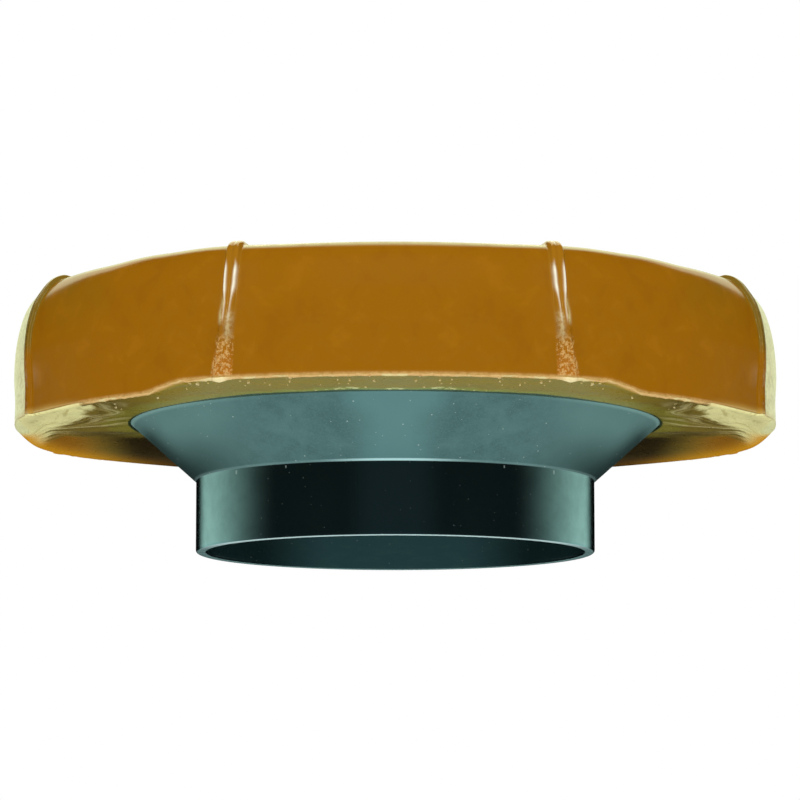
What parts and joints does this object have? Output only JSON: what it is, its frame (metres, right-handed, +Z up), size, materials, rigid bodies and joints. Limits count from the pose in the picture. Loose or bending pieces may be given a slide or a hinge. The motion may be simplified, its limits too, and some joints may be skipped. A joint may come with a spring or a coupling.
{
  "type": "toilet pan seal",
  "caption": "Flat eight-sided wax ring with a round bore, holding a plastic horn whose cone narrows to a short spigot that enters a waste pipe.",
  "frame": {"origin": "centre of the horn's lower rim, on the plane that it stands on", "axes": "+Z up along the bore, from the spigot to the wax; -Y towards the middle of the face that the picture shows"},
  "size_m": [0.145, 0.145, 0.049],
  "materials": {
    "wax": "poured amber petroleum wax, satin faces, paler crumbly edges and a smeared greenish underside",
    "horn_plastic": "blue-black moulded polyethylene, satin, with dust specks"
  },
  "bodies": {
    "root": {"wax_ring": "wax", "plastic_horn": "horn_plastic"}
  },
  "joints": []
}
